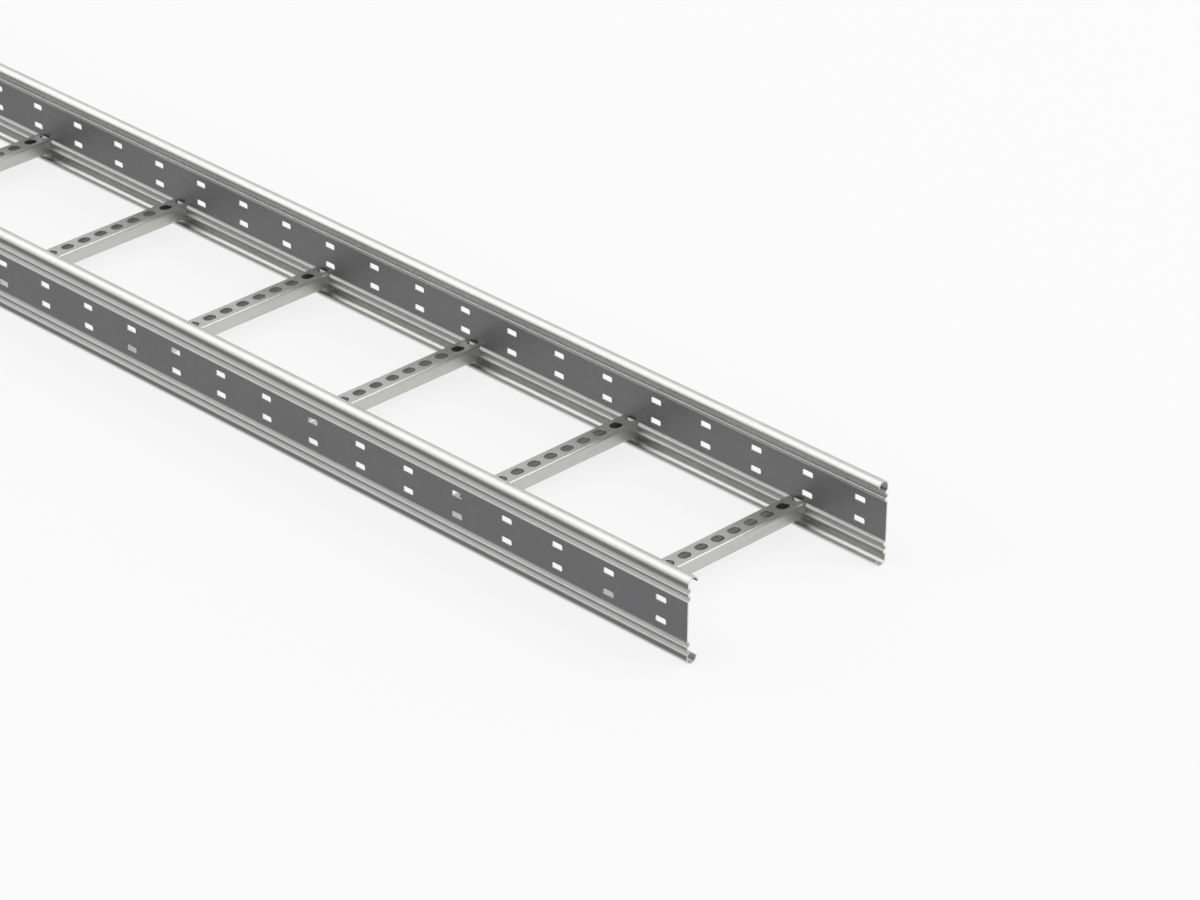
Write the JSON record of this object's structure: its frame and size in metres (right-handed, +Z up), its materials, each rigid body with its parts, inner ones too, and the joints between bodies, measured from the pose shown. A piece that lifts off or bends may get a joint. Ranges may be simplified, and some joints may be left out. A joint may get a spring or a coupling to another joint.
{
  "type": "cable ladder section",
  "caption": "Straight cable ladder section: two slotted, ribbed side rails with curled edges, joined by perforated channel rungs.",
  "frame": {"origin": "middle of the footprint, on the level of the lower curled edges", "axes": "+X along the ladder, +Y across it towards the left rail, +Z up through the open side"},
  "size_m": [3, 0.3, 0.102],
  "materials": {
    "rail_steel": "zinc coated sheet, smooth and half bright",
    "rung_steel": "zinc coated sheet, smooth and half bright"
  },
  "bodies": {
    "root": {"side_rail_left": "rail_steel", "side_rail_right": "rail_steel", "rung_01": "rung_steel", "rung_02": "rung_steel", "rung_03": "rung_steel", "rung_04": "rung_steel", "rung_05": "rung_steel", "rung_06": "rung_steel", "rung_07": "rung_steel", "rung_08": "rung_steel", "rung_09": "rung_steel", "rung_10": "rung_steel", "rung_11": "rung_steel", "rung_12": "rung_steel"}
  },
  "joints": []
}
